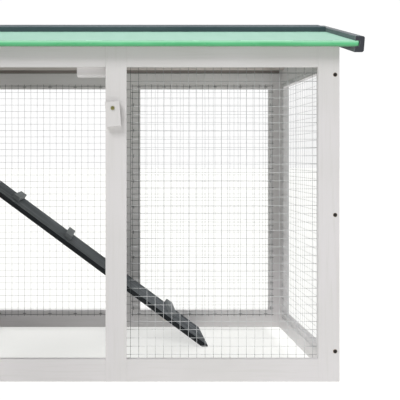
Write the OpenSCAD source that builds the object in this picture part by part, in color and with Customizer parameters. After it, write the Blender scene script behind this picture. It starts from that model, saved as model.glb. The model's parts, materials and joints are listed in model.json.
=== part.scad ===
// Two-level rabbit hutch: a raised sleeping house on the left, a wire run on the right, a ramp
// between them and one gable roof over both. Millimetres, +Z up, front face towards -Y.
// The origin is the middle of the underside of the front sill.

/* [Frame] */
// Length of the timber frame
frame_l = 1400; // [1340:1:1500]
// Depth of the timber frame from front face to back face
frame_d = 556; // [540:1:600]
// Height of the timber frame at its eaves
frame_h = 764; // [750:1:800]
// Thickness of the frame timber
panel_t = 15; // [14:1:16]
// Width of the upright posts
post_w = 48; // [44:1:52]
// Width of the uprights of the two end panels
end_stile_w = 50; // [46:1:54]
// Thickness of the two end panels
end_t = 16; // [14:1:18]
// Width of the front top rails
top_rail_w = 48; // [44:1:54]
// Width of the front and end sills and of the rails below the house
sill_w = 51; // [48:1:56]
// Width of the back top rails
back_top_w = 47; // [44:1:52]
// Width of the back sills
back_sill_w = 50; // [46:1:54]
// Width of the top rails of the end panels
end_top_w = 49; // [44:1:54]

/* [Layout] */
// Left edge of the post between the door bay and the fixed run panel
centre_post_x = 168; // [150:1:180]
// Line where the two back run panels meet
back_joint_x = 219; // [215:1:225]
// Right face of the wall between house and run
partition_x = -160; // [-170:1:-155]
// Top of the house floor
floor_top = 447; // [440:1:460]
// Thickness of floor and partition boards
board_t = 15; // [12:1:16]
// Gap left round the doors
door_gap = 2.5; // [2:0.5:4]
// Thickness of the doors
door_t = 14; // [12:1:14]

/* [Roof] */
// Pitch of both roof slopes in degrees
roof_pitch = 14.04; // [13:0.01:15]
// Thickness of the roof sheets
sheet_t = 12; // [10:1:12]
// How far the roof stands out past the ends of the frame
end_overhang = 48; // [44:1:60]
// How far the roof stands out at the front and back
eave_overhang = 25; // [20:1:30]
// Width of the grooved edge trims
trim_w = 21; // [20:1:24]
// Trim below the sheet
trim_under = 14; // [12:1:16]
// Trim above the sheet
trim_over = 10; // [8:1:11]
// Width of each ridge board
ridge_board_w = 70; // [60:1:80]
// Thickness of the ridge boards
ridge_board_t = 12; // [11:1:12]

/* [Ramp] */
// Slope of the ramp in degrees
ramp_pitch = 36.5; // [36:0.1:37]
// Width of the ramp
ramp_w = 213; // [200:1:215]
// Thickness of the ramp board
ramp_t = 13; // [12:1:14]
// Spacing of the cleats along the ramp
cleat_pitch = 179; // [170:1:185]
// Width of a cleat along the ramp
cleat_w = 21; // [18:1:24]
// Height of a cleat
cleat_h = 12; // [10:1:14]
// Bare board between the front edge of the ramp and the cleats
cleat_inset = 50; // [0:1:60]

/* [Latches and tray] */
// Width of a turn button
button_w = 33; // [30:1:34]
// Length of a turn button
button_l = 56; // [50:1:58]
// Height of the turn button screws above the ground
button_z = 621; // [600:1:640]
// Lean of the open run button in degrees
button_lean = 4; // [0:1:6]
// Height of the tray front
tray_front_h = 36; // [32:1:40]

/* [Hidden] */
$fn = 48;
x_end = frame_l / 2;
y_front = -panel_t / 2;
y_ridge = y_front + frame_d / 2;
open_top = frame_h - top_rail_w;
open_low = sill_w;
mid_rail_z = floor_top - sill_w;
in_front = panel_t;                      // depths are counted back from the front face
in_back = frame_d - panel_t;
back_h = frame_h - 4;
back_top = back_h - back_top_w;
end_top = frame_h - end_top_w;
joint_gap = 0.2;                         // between the uprights of the two back panels
partition_l = partition_x - board_t;
house_post_x = partition_x - post_w;
far = 2000;

mesh_t = 0.4;
mesh_lap = 20;
board_back = in_back - mesh_t - 0.2;     // the house boards stop short of the back mesh
stop_x = [centre_post_x - 66, centre_post_x + 30];

roof_x = x_end + end_overhang;
eave_z = frame_h + 1.8;                  // underside of the sheet above the front and back faces
slope_l = frame_d / 2 / cos(roof_pitch);
eave_u = -eave_overhang / cos(roof_pitch);
groove_d = 10.7;
sheet_end = roof_x - trim_w + groove_d - 0.2;
ridge_low_u = slope_l - ridge_board_w;
roof_gap = 0.8;
lid_top_u = ridge_low_u - 3.6;
lid_x = partition_x - 8;
partition_gap = 10;
batten_t = 17;
batten_u = [60, 80];

knuckle_r = 4;
pin_r = 2;
bore_r = 2.05;
leaf_t = 1.6;
leaf_w = 22;
hinge_l = 48;
mid_knuckle = 16;
knuckle_gap = 0.4;

door_x = [partition_x + door_gap, centre_post_x - door_gap];
door_z = [open_low + door_gap, open_top - door_gap];
run_axis = [partition_x + door_gap / 2, y_front - knuckle_r];
run_hinge_z = [180, 545];
house_x = [-x_end + post_w + door_gap, house_post_x - door_gap];
tray_z = [floor_top + 3, floor_top + 3 + tray_front_h];
house_z = [tray_z[1] + 3, open_top - door_gap];
house_axis = [-x_end + post_w + door_gap / 2, y_front - knuckle_r];
house_hinge_z = [house_z[0] + 45, house_z[1] - 45];
button_y = y_front - 0.5;
button_t = 15;
button_hang = 15;
run_button_x = centre_post_x + 16;
house_button_x = house_post_x + 24;
lid_hinge_x = [-600, -320];

ramp_d = 309;
ramp_axis = [partition_x + 3, floor_top + knuckle_r];
ramp_toe_x = 440;
ramp_start = 12;
hinge_d = [365, 465];
hole_d = [322, 508];
hole_top = 700;

screw_z = [69, 379, 698];
screw_x = x_end - 10;

WHITE = "#dcd9da";
SLATE = "#4e5a5e";
GREEN = "#8fdcb0";
STEEL = "#a9adb0";
ZINC = "#c2b98a";

// ---- helpers -------------------------------------------------------------------------------

// Box between two X, two depths behind the front face, and two heights
module block(x, d, z)
    translate([x[0], y_front + d[0], z[0]]) cube([x[1] - x[0], d[1] - d[0], z[1] - z[0]]);

// The same box between the frame's front panel faces, and its twin in the back panel
module front_member(x, z) block(x, [0, panel_t], z);
module back_member(x, z) block(x, [in_back, frame_d], z);

// Roof frames: X along the roof, u up the slope from the face, w square to the sheet
module on_front_slope() translate([0, y_front, eave_z]) rotate([roof_pitch, 0, 0]) children();
module on_back_slope()
    translate([0, y_front + frame_d, eave_z]) mirror([0, 1, 0]) rotate([roof_pitch, 0, 0]) children();
module slab(x, u, w) translate([x[0], u[0], w[0]]) cube([x[1] - x[0], u[1] - u[0], w[1] - w[0]]);
module front_of_ridge() intersection() {
    children();
    translate([-far, y_ridge - far, -far]) cube([2 * far, far, 2 * far]);
}
module behind_ridge() intersection() {
    children();
    translate([-far, y_ridge, -far]) cube([2 * far, far, 2 * far]);
}

module rounded_bar(w, h, r) {
    translate([r, 0]) square([w - r, h]);
    translate([0, r]) square([w, h - 2 * r]);
    for (y = [r, h - r]) translate([r, y]) circle(r);
}

// Grooved roof trim: outer edge at x = 0, rounded, groove open towards +x
module grooved_trim(u) translate([0, u[1], -trim_under]) rotate([90, 0, 0])
    linear_extrude(height = u[1] - u[0]) difference() {
        rounded_bar(trim_w, trim_under + sheet_t + trim_over, 5);
        translate([trim_w - groove_d, trim_under]) square([groove_d + 1, sheet_t]);
    }

// Hinge halves: pin on Z, faces of the wood at y = knuckle_r
module hinge_bore() cylinder(r = bore_r, h = hinge_l + 2, center = true);
module fixed_leaf() difference() {
    union() {
        translate([-leaf_w, knuckle_r - leaf_t, -hinge_l / 2]) cube([leaf_w, leaf_t, hinge_l]);
        cylinder(r = knuckle_r, h = hinge_l, center = true);
    }
    hinge_bore();
    translate([-knuckle_r - knuckle_gap, -knuckle_r - 1, -mid_knuckle / 2 - knuckle_gap])
        cube([2 * knuckle_r + 2, 2 * knuckle_r + 2, mid_knuckle + 2 * knuckle_gap]);
}
module moving_leaf() difference() {
    union() {
        translate([0, knuckle_r - leaf_t, -hinge_l / 2]) cube([leaf_w, leaf_t, hinge_l]);
        cylinder(r = knuckle_r, h = mid_knuckle, center = true);
    }
    hinge_bore();
    for (z = [-hinge_l / 2 - 1, mid_knuckle / 2])
        translate([-knuckle_r - 1, -knuckle_r - 1, z])
            cube([2 * knuckle_r + 1 + knuckle_gap, 2 * knuckle_r + 2, (hinge_l - mid_knuckle) / 2 + 1]);
}
module hinge_pin() {
    cylinder(r = pin_r, h = hinge_l, center = true);
    translate([0, 0, hinge_l / 2]) cylinder(r = knuckle_r - 0.8, h = 1.5);
}
module at_run_axis() for (z = run_hinge_z) translate([run_axis[0], run_axis[1], z]) children();
module at_house_axis() for (z = house_hinge_z) translate([house_axis[0], house_axis[1], z]) children();
module at_lid_axis() on_front_slope() for (x = lid_hinge_x)
    translate([x, lid_top_u + 1.8, sheet_t + ridge_board_t + knuckle_r])
        rotate([-90, 0, 0]) rotate([0, 90, 0]) children();
module at_ramp_axis() for (d = hinge_d)
    translate([ramp_axis[0], y_front + d, ramp_axis[1]]) rotate([-90, 0, 0]) children();

// The run door stands open square to the front at rest
module door_open() translate([run_axis[0], run_axis[1], 0]) rotate([0, 0, -90])
    translate([-run_axis[0], -run_axis[1], 0]) children();
module on_ramp() translate([ramp_axis[0], y_front + ramp_d, ramp_axis[1]]) rotate([0, ramp_pitch, 0])
    translate([0, 0, -knuckle_r]) children();

// ---- frame ---------------------------------------------------------------------------------

bays = [[-x_end + post_w, house_post_x], [partition_x, centre_post_x],
        [centre_post_x + post_w, x_end - post_w]];
back_bays = [[-x_end + post_w, house_post_x], [partition_x, back_joint_x - post_w],
             [back_joint_x + post_w, x_end - post_w]];

module front_post(x) color(WHITE) front_member([x, x + post_w], [0, frame_h]);
module front_left_post() front_post(-x_end);
module front_house_post() front_post(house_post_x);
module front_centre_post() front_post(centre_post_x);
module front_right_post() front_post(x_end - post_w);
module front_top_rails() color(WHITE) for (b = bays) front_member(b, [open_top, frame_h]);
module front_sills() color(WHITE) for (b = bays) front_member(b, [0, sill_w]);
module front_mid_rail() color(WHITE) front_member(bays[0], [mid_rail_z, floor_top]);

module back_post(x) back_member([x, x + post_w], [0, back_h]);
module back_right_post() color(WHITE) back_post(x_end - post_w);
module back_centre_posts() color(WHITE) {
    back_post(back_joint_x);
    back_member([back_joint_x - post_w, back_joint_x - joint_gap], [0, back_h]);
}
module back_house_posts() color(WHITE) { back_post(-x_end); back_post(house_post_x); }
module back_top_rails() color(WHITE) for (b = back_bays) back_member(b, [back_top, back_h]);
module back_sills() color(WHITE) for (b = back_bays) back_member(b, [0, back_sill_w]);
module back_mid_rail() color(WHITE) back_member(back_bays[0], [mid_rail_z, floor_top]);

// End panels stand between the front and back panels
end_rail_d = [in_front + end_stile_w, in_back - end_stile_w];
module end_stiles(x) {
    block(x, [in_front, in_front + end_stile_w], [0, frame_h]);
    block(x, [in_back - end_stile_w, in_back], [0, frame_h]);
}
module gable(x) translate([x, 0, 0]) rotate([90, 0, 90]) linear_extrude(height = end_t) polygon([
    [y_front + in_front, frame_h], [y_front + in_back, frame_h],
    [y_front + in_back, eave_z - roof_gap + panel_t * tan(roof_pitch)],
    [y_ridge, eave_z - roof_gap + frame_d / 2 * tan(roof_pitch)],
    [y_front + in_front, eave_z - roof_gap + panel_t * tan(roof_pitch)]]);
right_x = [x_end - end_t, x_end];
left_x = [-x_end, -x_end + end_t];
module right_stiles() color(WHITE) end_stiles(right_x);
module right_rails() color(WHITE) {
    block(right_x, end_rail_d, [0, sill_w]);
    block(right_x, end_rail_d, [end_top, frame_h]);
}
module right_gable() color(WHITE) gable(right_x[0]);
module left_stiles() color(WHITE) end_stiles(left_x);
module left_rails() color(WHITE) {
    block(left_x, end_rail_d, [0, sill_w]);
    block(left_x, end_rail_d, [mid_rail_z, floor_top]);
    block(left_x, end_rail_d, [end_top, frame_h]);
}
module left_gable() color(WHITE) gable(left_x[0]);

// ---- house ---------------------------------------------------------------------------------

module left_wall() color(WHITE) block([left_x[0] + 3, left_x[1] - 3], end_rail_d, [floor_top, end_top]);
module back_wall() color(WHITE) block(back_bays[0], [in_back + 3, frame_d - 3], [floor_top, back_top]);
hole_r = (hole_d[1] - hole_d[0]) / 2;
beam_y = 9;
beam_z = [790, 832];
module partition() color(WHITE) difference() {
    translate([partition_l, 0, 0]) rotate([90, 0, 90]) linear_extrude(height = board_t) polygon([
        [y_front + in_front, floor_top], [y_front + board_back, floor_top],
        [y_front + board_back, eave_z - partition_gap],
        [y_ridge, eave_z - partition_gap + (frame_d / 2 - panel_t) * tan(roof_pitch)],
        [y_front + in_front, eave_z - partition_gap]]);
    block([partition_l - 1, partition_x + 1], hole_d, [floor_top - 1, hole_top - hole_r]);
    translate([partition_l - 1, y_front + hole_d[0] + hole_r, hole_top - hole_r])
        rotate([0, 90, 0]) cylinder(r = hole_r, h = board_t + 2);
    translate([-far, y_ridge - beam_y, beam_z[0]]) cube([2 * far, 2 * beam_y, far]);
}
module house_floor() color(WHITE)
    block([left_x[1], partition_x], [in_front, board_back], [floor_top - board_t, floor_top]);
module floor_bearers() color(WHITE) for (d = [in_front, board_back - board_t])
    block([left_x[1], partition_x], [d, d + board_t], [mid_rail_z, floor_top - board_t]);

// ---- wire mesh panels (their wires cross every 19 mm) ---------------------------------------

mesh_z = [open_low - mesh_lap + 1, open_top + mesh_lap - 7];
function wider(b, by) = [b[0] - by, b[1] + by];
module mesh_front(x, z) color(STEEL) block(x, [in_front, in_front + mesh_t], z);
module mesh_back(x, z) color(STEEL) block(x, [in_back - mesh_t, in_back], z);
low_mesh_z = [open_low - mesh_lap, mid_rail_z - 1];
module front_run_mesh() mesh_front(wider(bays[2], 14), mesh_z);
back_mesh_z = [back_sill_w - 17, back_top + 14];
module back_right_mesh() mesh_back([back_bays[2][0] - 28, back_bays[2][1] + 14], back_mesh_z);
module back_left_mesh() mesh_back(wider(back_bays[1], mesh_lap), back_mesh_z);
module right_mesh() color(STEEL) block([right_x[0] - mesh_t, right_x[0]], wider(end_rail_d, 14), mesh_z);
module low_meshes() {
    mesh_front(wider(bays[0], mesh_lap), low_mesh_z);
    mesh_back(wider(back_bays[0], mesh_lap), low_mesh_z);
    color(STEEL) block([left_x[1], left_x[1] + mesh_t], wider(end_rail_d, mesh_lap), low_mesh_z);
}

// ---- roof ----------------------------------------------------------------------------------

module ridge_beam() color(WHITE)
    translate([left_x[1], y_ridge - beam_y, beam_z[0]])
        cube([2 * right_x[0], 2 * beam_y, beam_z[1] - beam_z[0]]);
ridge_x = roof_x - trim_w - 0.2;
module ridge_profile()
    slab([-ridge_x, ridge_x], [ridge_low_u, slope_l + 20], [sheet_t, sheet_t + ridge_board_t]);
module ridge_boards() color(SLATE) {
    front_of_ridge() on_front_slope() ridge_profile();
    translate([0, 0.2, 0]) behind_ridge() on_back_slope() ridge_profile();
}
module eave_batten(x) slab(x, batten_u, [-batten_t, 0]);
module eave_battens() color(WHITE) {
    on_front_slope() eave_batten([partition_x + 1, right_x[0]]);
    on_back_slope() eave_batten([partition_x + 1, right_x[0]]);
    on_back_slope() eave_batten([left_x[1], partition_l - 1]);
}
module roof_sheet_back() color(GREEN) on_back_slope()
    slab([-sheet_end, sheet_end], [eave_u, slope_l - 0.5], [0, sheet_t]);
module roof_sheet_front() color(GREEN) on_front_slope() {
    slab([lid_x + 4, sheet_end], [eave_u, slope_l - 0.5], [0, sheet_t]);
    slab([-sheet_end, lid_x], [ridge_low_u, slope_l - 0.5], [0, sheet_t]);
}
module right_trim() translate([roof_x, 0, 0]) mirror([1, 0, 0]) grooved_trim([eave_u, slope_l + 12]);
module left_trim(u) translate([-roof_x, 0, 0]) grooved_trim(u);
module trim_right_front() color(SLATE) front_of_ridge() on_front_slope() right_trim();
module back_slope_trims() color(SLATE) behind_ridge() on_back_slope() {
    right_trim();
    left_trim([eave_u, slope_l + 12]);
}
module ridge_end_stub() color(SLATE)
    front_of_ridge() on_front_slope() left_trim([ridge_low_u, slope_l + 12]);

// ---- small fixed parts ---------------------------------------------------------------------

module stop_block() color(WHITE)
    block(stop_x, [in_front, in_front + 50], [open_top - 18, frame_h - 5]);

// Countersunk screws that hold the front and back panels to the end panels
module frame_screw() rotate([-90, 0, 0]) {
    translate([0, 0, -0.4]) cylinder(r = 4, h = 1.8);
    cylinder(r = 2, h = 40);
}
module frame_screws() color(ZINC) for (x = [-screw_x, screw_x], z = screw_z) {
    translate([x, y_front, z]) frame_screw();
    translate([x, y_front + frame_d, z]) rotate([0, 0, 180]) frame_screw();
}
module button_screws() color(ZINC) for (x = [house_button_x, run_button_x])
    translate([x, button_y - button_t - 0.3, button_z]) rotate([-90, 0, 0]) {
        translate([0, 0, -2.2]) cylinder(r = 4.5, h = 2.2);
        cylinder(r = 2.2, h = button_t + 12);
    }
module fixed_hinge_leaves() color(STEEL) {
    at_run_axis() fixed_leaf();
    at_house_axis() fixed_leaf();
    at_lid_axis() fixed_leaf();
    at_ramp_axis() fixed_leaf();
}
module hinge_pins() color(STEEL) {
    at_run_axis() hinge_pin();
    at_house_axis() hinge_pin();
    at_lid_axis() hinge_pin();
    at_ramp_axis() hinge_pin();
}

// ---- run door ------------------------------------------------------------------------------

module door_member(x, z) door_open() block(x, [0, door_t], z);
module run_door_stiles() color(WHITE) {
    door_member([door_x[0], door_x[0] + post_w], door_z);
    door_member([door_x[1] - post_w, door_x[1]], door_z);
}
module run_door_rails() color(WHITE) {
    door_member(wider(door_x, -post_w), [door_z[0], door_z[0] + post_w]);
    door_member(wider(door_x, -post_w), [door_z[1] - post_w, door_z[1]]);
}
module run_door_mesh() color(STEEL) door_open()
    block(wider(door_x, -post_w + mesh_lap), [door_t, door_t + mesh_t], wider(door_z, -post_w + mesh_lap));
module run_door_hinges() color(STEEL) door_open() at_run_axis() moving_leaf();

module button_blank(x) difference() {
    translate([x - button_w / 2, button_y - button_t, button_z + button_hang - button_l])
        cube([button_w, button_t, button_l]);
    translate([x, button_y + 1, button_z]) rotate([90, 0, 0]) cylinder(r = 2.27, h = button_t + 2);
}
module run_button() color(WHITE) translate([run_button_x, 0, button_z]) rotate([0, -button_lean, 0])
    translate([-run_button_x, 0, -button_z]) button_blank(run_button_x);
module house_button() color(WHITE) button_blank(house_button_x);

// ---- house door ----------------------------------------------------------------------------

boards = 5;
board_w = (house_x[1] - house_x[0]) / boards;
ledge_t = 12;
module house_door_boards() color(WHITE) for (i = [0 : boards - 1])
    block([house_x[0] + i * board_w + 0.4, house_x[0] + (i + 1) * board_w - 0.4], [0, door_t], house_z);
module house_door_ledges() color(WHITE) for (z = [house_z[0] + 20, house_z[1] - 60])
    block([house_x[0] + 20, house_x[1] - 20], [door_t, door_t + ledge_t], [z, z + 40]);
module house_door_hinges() color(STEEL) at_house_axis() moving_leaf();

// ---- tray ----------------------------------------------------------------------------------

pan_wall = 1.2;
pan_x = [house_x[0] + 5, house_x[1] - 5];
pan_d = [door_t, 520];
pan_z = [floor_top + 0.5, floor_top + 31];
module tray_pan() color(STEEL) difference() {
    block(pan_x, pan_d, pan_z);
    block(wider(pan_x, -pan_wall), wider(pan_d, -pan_wall), [pan_z[0] + pan_wall, pan_z[1] + 1]);
}
module tray_front() color(WHITE) block(house_x, [0, door_t], tray_z);
pull_x = (house_x[0] + house_x[1]) / 2;
module tray_pull() color(SLATE) block([pull_x - 45, pull_x + 45], [-18, 0], [tray_z[0] + 10, tray_z[1] - 10]);

// ---- lid over the house --------------------------------------------------------------------

module lid_sheet() color(GREEN) on_front_slope()
    slab([-sheet_end, lid_x], [eave_u, lid_top_u], [0, sheet_t]);
module lid_timber() color(SLATE) on_front_slope() {
    left_trim([eave_u, lid_top_u]);
    difference() {
        union() {
            slab([-roof_x + trim_w + 0.2, lid_x + 12], [lid_top_u - 40, lid_top_u],
                 [sheet_t, sheet_t + ridge_board_t]);
            slab([lid_x - 28, lid_x + 12], [eave_u, lid_top_u], [sheet_t, sheet_t + trim_over]);
        }
        slab([lid_x - 0.2, lid_x + 20], [eave_u - 1, lid_top_u + 1], [sheet_t - 1, sheet_t + roof_gap]);
    }
}
module lid_hinges() color(STEEL) at_lid_axis() moving_leaf();

// ---- ramp ----------------------------------------------------------------------------------

ramp_top = [ramp_axis[0] - knuckle_r * sin(ramp_pitch), ramp_axis[1] - knuckle_r * cos(ramp_pitch)];
function ramp_z(x) = ramp_top[1] - (x - ramp_top[0]) * tan(ramp_pitch);
ramp_fall = ramp_t / cos(ramp_pitch);
ramp_heel_x = ramp_top[0] + (ramp_top[1] - ramp_fall) / tan(ramp_pitch);
start_x = ramp_top[0] + ramp_start * cos(ramp_pitch);
module ramp_board() color(SLATE) translate([0, y_front + ramp_d + ramp_w, 0]) rotate([90, 0, 0])
    linear_extrude(height = ramp_w) polygon([
        [start_x, ramp_z(start_x)], [ramp_toe_x, ramp_z(ramp_toe_x)], [ramp_toe_x, 0],
        [ramp_heel_x, 0],
        [start_x - ramp_t * sin(ramp_pitch), ramp_z(start_x) - ramp_t * cos(ramp_pitch)]]);
first_cleat = 81;
module ramp_cleats() color(SLATE) on_ramp() for (i = [0 : 3])
    translate([first_cleat + i * cleat_pitch, cleat_inset, 0]) cube([cleat_w, ramp_w - cleat_inset, cleat_h]);
module ramp_hinges() color(STEEL) at_ramp_axis() rotate([0, 0, ramp_pitch]) moving_leaf();

front_left_post();
front_house_post();
front_centre_post();
front_right_post();
front_top_rails();
front_sills();
front_mid_rail();
back_right_post();
back_centre_posts();
back_house_posts();
back_top_rails();
back_sills();
back_mid_rail();
right_stiles();
right_rails();
right_gable();
left_stiles();
left_rails();
left_gable();
left_wall();
back_wall();
partition();
house_floor();
floor_bearers();
front_run_mesh();
back_right_mesh();
back_left_mesh();
right_mesh();
low_meshes();
ridge_beam();
ridge_boards();
eave_battens();
roof_sheet_back();
roof_sheet_front();
trim_right_front();
back_slope_trims();
ridge_end_stub();
stop_block();
frame_screws();
button_screws();
fixed_hinge_leaves();
hinge_pins();
run_door_stiles();
run_door_rails();
run_door_mesh();
run_door_hinges();
run_button();
house_door_boards();
house_door_ledges();
house_door_hinges();
house_button();
tray_pan();
tray_front();
tray_pull();
lid_sheet();
lid_timber();
lid_hinges();
ramp_board();
ramp_cleats();
ramp_hinges();
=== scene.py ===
"""Looks of a two-level rabbit hutch: painted timber, welded wire, green sheet roof and a ramp.

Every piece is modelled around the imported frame, in metres, and rides on the frame's own bodies.
"""

import json
import logging
import math
from dataclasses import dataclass, field
from enum import Enum
from typing import Sequence

import bpy
from mathutils import Matrix, Vector, noise


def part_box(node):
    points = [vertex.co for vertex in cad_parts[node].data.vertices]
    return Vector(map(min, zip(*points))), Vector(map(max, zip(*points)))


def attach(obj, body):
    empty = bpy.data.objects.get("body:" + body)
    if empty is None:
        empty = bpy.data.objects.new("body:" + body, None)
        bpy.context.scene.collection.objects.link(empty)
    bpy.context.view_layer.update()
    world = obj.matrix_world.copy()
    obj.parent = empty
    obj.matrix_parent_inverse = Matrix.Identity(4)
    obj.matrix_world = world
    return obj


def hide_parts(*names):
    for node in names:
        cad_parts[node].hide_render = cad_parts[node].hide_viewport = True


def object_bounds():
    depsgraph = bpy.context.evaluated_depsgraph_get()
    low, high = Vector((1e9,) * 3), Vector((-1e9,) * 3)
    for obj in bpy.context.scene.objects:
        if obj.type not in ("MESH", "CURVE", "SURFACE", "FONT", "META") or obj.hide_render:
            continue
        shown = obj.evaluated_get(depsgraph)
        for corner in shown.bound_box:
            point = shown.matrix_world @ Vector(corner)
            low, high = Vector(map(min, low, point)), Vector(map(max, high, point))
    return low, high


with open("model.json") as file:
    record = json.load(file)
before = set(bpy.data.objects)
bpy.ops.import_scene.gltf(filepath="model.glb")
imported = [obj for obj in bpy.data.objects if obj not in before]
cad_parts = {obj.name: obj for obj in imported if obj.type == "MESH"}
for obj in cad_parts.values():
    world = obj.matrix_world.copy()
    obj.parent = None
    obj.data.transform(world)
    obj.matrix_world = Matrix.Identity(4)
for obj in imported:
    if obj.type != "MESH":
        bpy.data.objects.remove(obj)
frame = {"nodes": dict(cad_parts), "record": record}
cad_low, cad_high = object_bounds()

LOG = logging.getLogger("hutch")
MM = 0.001

Box = tuple[Vector, Vector]


# ---- small helpers -------------------------------------------------------------------------


def linear(hex_colour: str) -> tuple[float, float, float, float]:
    """Turns an sRGB hex colour into linear light.

    Args:
        hex_colour: Six hex digits after a hash sign.

    Returns:
        Linear red, green, blue and an alpha of one.
    """
    parts = [int(hex_colour[i : i + 2], 16) / 255 for i in (1, 3, 5)]
    light = [c / 12.92 if c <= 0.04045 else ((c + 0.055) / 1.055) ** 2.4 for c in parts]
    return (*light, 1.0)


def deselect() -> None:
    """Leaves object mode selection empty."""
    bpy.ops.object.select_all(action="DESELECT")


def select(piece: bpy.types.Object) -> None:
    """Makes one object the only selected and the active one."""
    deselect()
    piece.select_set(True)
    bpy.context.view_layer.objects.active = piece


def edit(piece: bpy.types.Object, mode: str = "FACE") -> None:
    """Opens a piece in edit mode with everything selected, in vertex, edge or face mode."""
    select(piece)
    bpy.ops.object.mode_set(mode="EDIT")
    bpy.ops.mesh.select_mode(type=mode)
    bpy.ops.mesh.select_all(action="SELECT")


def done() -> None:
    """Goes back to object mode."""
    bpy.ops.object.mode_set(mode="OBJECT")


def settle(piece: bpy.types.Object) -> bpy.types.Object:
    """Applies a piece's transform, so that its place is in its mesh.

    Args:
        piece: The object to settle.

    Returns:
        The same object.
    """
    select(piece)
    bpy.ops.object.transform_apply(location=True, rotation=True, scale=True)
    return piece


def cube(low: Sequence[float], high: Sequence[float]) -> bpy.types.Object:
    """Adds a cube primitive that fills the space between two corners.

    Args:
        low: Lowest corner, in metres.
        high: Highest corner, in metres.

    Returns:
        The new object.
    """
    deselect()
    a, b = Vector(low), Vector(high)
    bpy.ops.mesh.primitive_cube_add(size=1.0, location=(a + b) / 2)
    made = bpy.context.active_object
    made.scale = b - a
    return settle(made)


def rod(start: Sequence[float], end: Sequence[float], radius: float, sides: int = 16) -> bpy.types.Object:
    """Adds a cylinder primitive between two points.

    Args:
        start: Centre of one end, in metres.
        end: Centre of the other end.
        radius: Its radius.
        sides: How many faces go round it.

    Returns:
        The new object.
    """
    deselect()
    a, b = Vector(start), Vector(end)
    turn = (b - a).to_track_quat("Z", "Y").to_euler()
    bpy.ops.mesh.primitive_cylinder_add(
        vertices=sides, radius=radius, depth=(b - a).length, location=(a + b) / 2, rotation=turn
    )
    return settle(bpy.context.active_object)


def join(parts: Sequence[bpy.types.Object]) -> bpy.types.Object:
    """Joins objects into the first one.

    Args:
        parts: The objects, at least one.

    Returns:
        The joined object.
    """
    deselect()
    for part in parts:
        part.select_set(True)
    bpy.context.view_layer.objects.active = parts[0]
    if len(parts) > 1:
        bpy.ops.object.join()
    return parts[0]


def copies(model: bpy.types.Object, places: Sequence[Matrix]) -> bpy.types.Object:
    """Puts a copy of a small model, each with its own mesh, at every place and joins them.

    Args:
        model: The model, which is used up.
        places: One transform for each copy.

    Returns:
        The joined object.
    """
    made = []
    for place in places:
        twin = model.copy()
        twin.data = model.data.copy()
        twin.data.transform(place)
        bpy.context.scene.collection.objects.link(twin)
        made.append(twin)
    bpy.data.objects.remove(model)
    return join(made)


def use_modifier(piece: bpy.types.Object, kind: str, **settings: object) -> None:
    """Adds a modifier with its settings and applies it.

    Args:
        piece: The object to change.
        kind: Blender's name of the modifier's type.
        settings: Properties to set on it.
    """
    select(piece)
    modifier = piece.modifiers.new(kind, kind)
    for key, value in settings.items():
        setattr(modifier, key, value)
    bpy.ops.object.modifier_apply(modifier=modifier.name)


def ease(piece: bpy.types.Object, width: float, segments: int = 2, angle: float = 40.0) -> bpy.types.Object:
    """Rounds a piece's sharp edges and shades its curves smooth.

    Args:
        piece: The object to ease.
        width: Width of the rounding, in metres.
        segments: Faces across the rounding.
        angle: Edges sharper than this are rounded, in degrees.

    Returns:
        The same object.
    """
    use_modifier(
        piece, "BEVEL", width=width, segments=segments, limit_method="ANGLE",
        angle_limit=math.radians(angle), use_clamp_overlap=True, harden_normals=False,
    )
    select(piece)
    bpy.ops.object.shade_smooth_by_angle(angle=math.radians(32))
    use_modifier(piece, "WEIGHTED_NORMAL", keep_sharp=True)
    return piece


def merged_copy(node: str) -> bpy.types.Object:
    """Copies a frame node's mesh, closes its loose triangles and joins its flat faces.

    Args:
        node: Name of the frame node.

    Returns:
        The copy, which no longer counts as the frame's.
    """
    source = frame["nodes"][node]
    twin = bpy.data.objects.new(node + "_copy", source.data.copy())
    bpy.context.scene.collection.objects.link(twin)
    twin.data.materials.clear()
    edit(twin, "VERT")
    bpy.ops.mesh.remove_doubles(threshold=0.02 * MM)
    bpy.ops.mesh.dissolve_limited(angle_limit=math.radians(0.4))
    done()
    return twin


def limits(piece: bpy.types.Object) -> Box:
    """Lowest and highest corner of an object whose transform is applied."""
    points = [v.co for v in piece.data.vertices]
    low = Vector([min(p[i] for p in points) for i in range(3)])
    high = Vector([max(p[i] for p in points) for i in range(3)])
    return low, high


def solids_of(node: str) -> list[Box]:
    """Boxes of the separate solids of a frame node, sorted by place.

    Args:
        node: Name of the frame node.

    Returns:
        One box for each solid.
    """
    twin = merged_copy(node)
    edit(twin, "VERT")
    bpy.ops.mesh.separate(type="LOOSE")
    done()
    parts = list(bpy.context.selected_objects)
    boxes = [limits(part) for part in parts]
    for part in parts:
        bpy.data.objects.remove(part)
    return sorted(boxes, key=lambda b: tuple(round(c, 4) for c in b[0]))


# ---- finishes ------------------------------------------------------------------------------


class Grain(Enum):
    """Which way a piece of timber runs: the axis, then how far it is tipped about Y in degrees."""

    X = (1.0, 0.0, 0.0, 0.0)
    Y = (0.0, 1.0, 0.0, 0.0)
    Z = (0.0, 0.0, 1.0, 0.0)
    RAMP = (1.0, 0.0, 0.0, -36.5)


def add_node(
    tree: bpy.types.NodeTree,
    kind: str,
    values: dict[str | int, object] | None = None,
    links: dict[str | int, bpy.types.NodeSocket] | None = None,
    **settings: object,
) -> bpy.types.Node:
    """Adds one shader node with its settings, plain input values and links.

    Args:
        tree: The node tree.
        kind: Type of the node, after "ShaderNode".
        values: Plain values by input name or number.
        links: Source sockets by input name or number.
        settings: Properties of the node itself.

    Returns:
        The new node.
    """
    made = tree.nodes.new("ShaderNode" + kind)
    for key, value in settings.items():
        setattr(made, key, value)
    for key, value in (values or {}).items():
        made.inputs[key].default_value = value
    for key, source in (links or {}).items():
        tree.links.new(source, made.inputs[key])
    return made


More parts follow.
